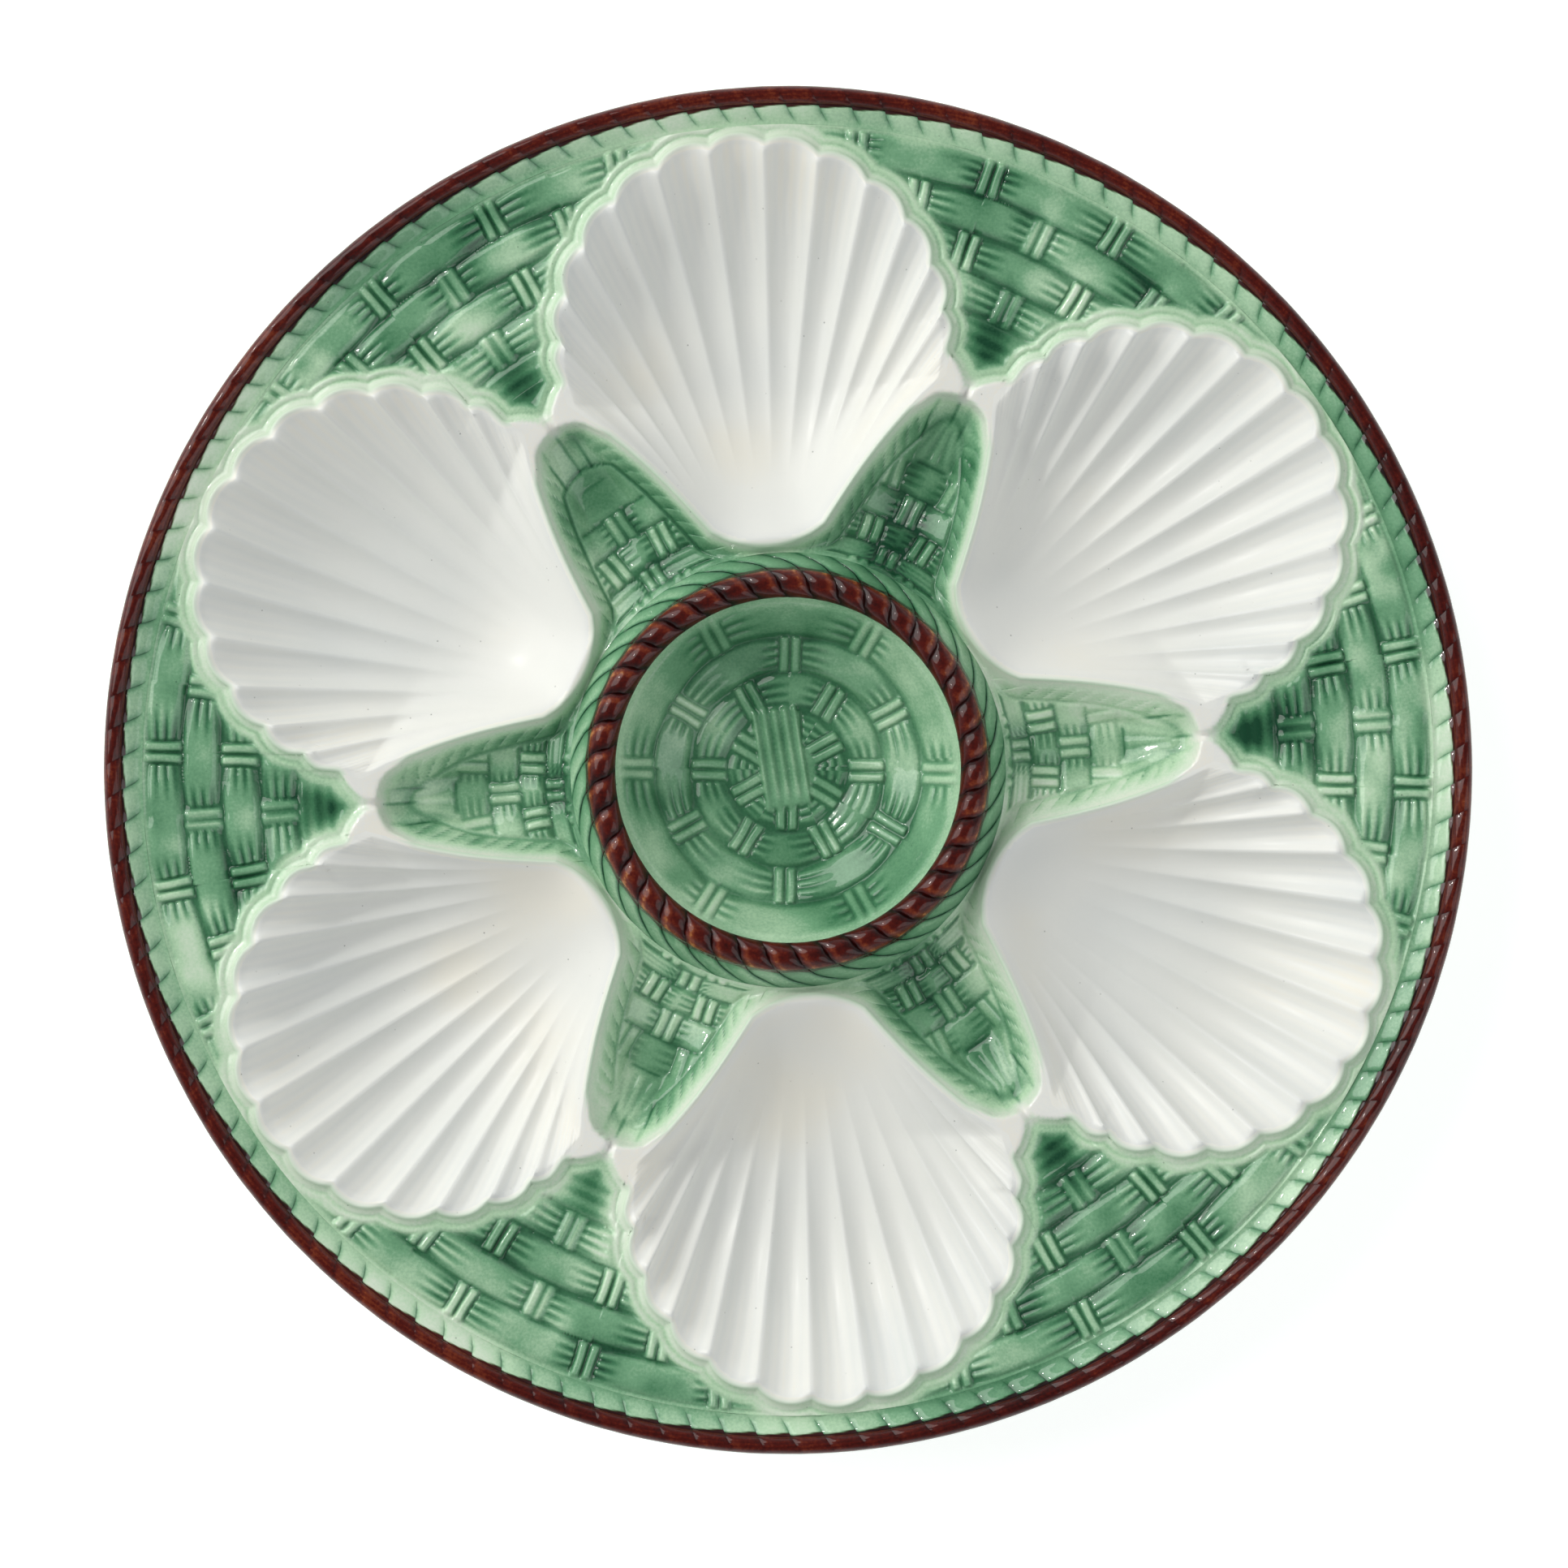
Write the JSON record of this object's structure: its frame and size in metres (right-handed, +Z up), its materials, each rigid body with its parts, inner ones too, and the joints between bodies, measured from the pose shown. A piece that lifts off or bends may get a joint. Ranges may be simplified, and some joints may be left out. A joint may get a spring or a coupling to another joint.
{
  "type": "oyster plate",
  "caption": "Round earthenware oyster plate with scallop-shell wells round a raised rope-edged dip bowl, on a green basket-weave ground inside a twisted rope rim.",
  "frame": {"origin": "middle of the face that the foot ring stands on", "axes": "+Z up, out of the wells; +Y along the axis of shell_well_1, from the bowl to the rim"},
  "size_m": [0.245, 0.245, 0.03],
  "materials": {
    "white_glaze": "gloss white glaze, mint where it thins at the lip",
    "green_glaze": "gloss translucent green glaze, dark where it pools",
    "brown_glaze": "gloss red-brown glaze",
    "dry_foot": "bare fired earthenware, wiped and slightly worn"
  },
  "bodies": {
    "root": {"shell_well_1": "white_glaze", "shell_well_2": "white_glaze", "shell_well_3": "white_glaze", "shell_well_4": "white_glaze", "shell_well_5": "white_glaze", "shell_well_6": "white_glaze", "outer_weave_1": "green_glaze", "outer_weave_2": "green_glaze", "outer_weave_3": "green_glaze", "outer_weave_4": "green_glaze", "outer_weave_5": "green_glaze", "outer_weave_6": "green_glaze", "inner_weave_1": "green_glaze", "inner_weave_2": "green_glaze", "inner_weave_3": "green_glaze", "inner_weave_4": "green_glaze", "inner_weave_5": "green_glaze", "inner_weave_6": "green_glaze", "bowl_collar": "green_glaze", "bowl_rope": "brown_glaze", "dip_bowl": "green_glaze", "rim_border": "green_glaze", "rim_rope": "brown_glaze", "foot_wall": "green_glaze", "foot_ring": "dry_foot"}
  },
  "joints": []
}
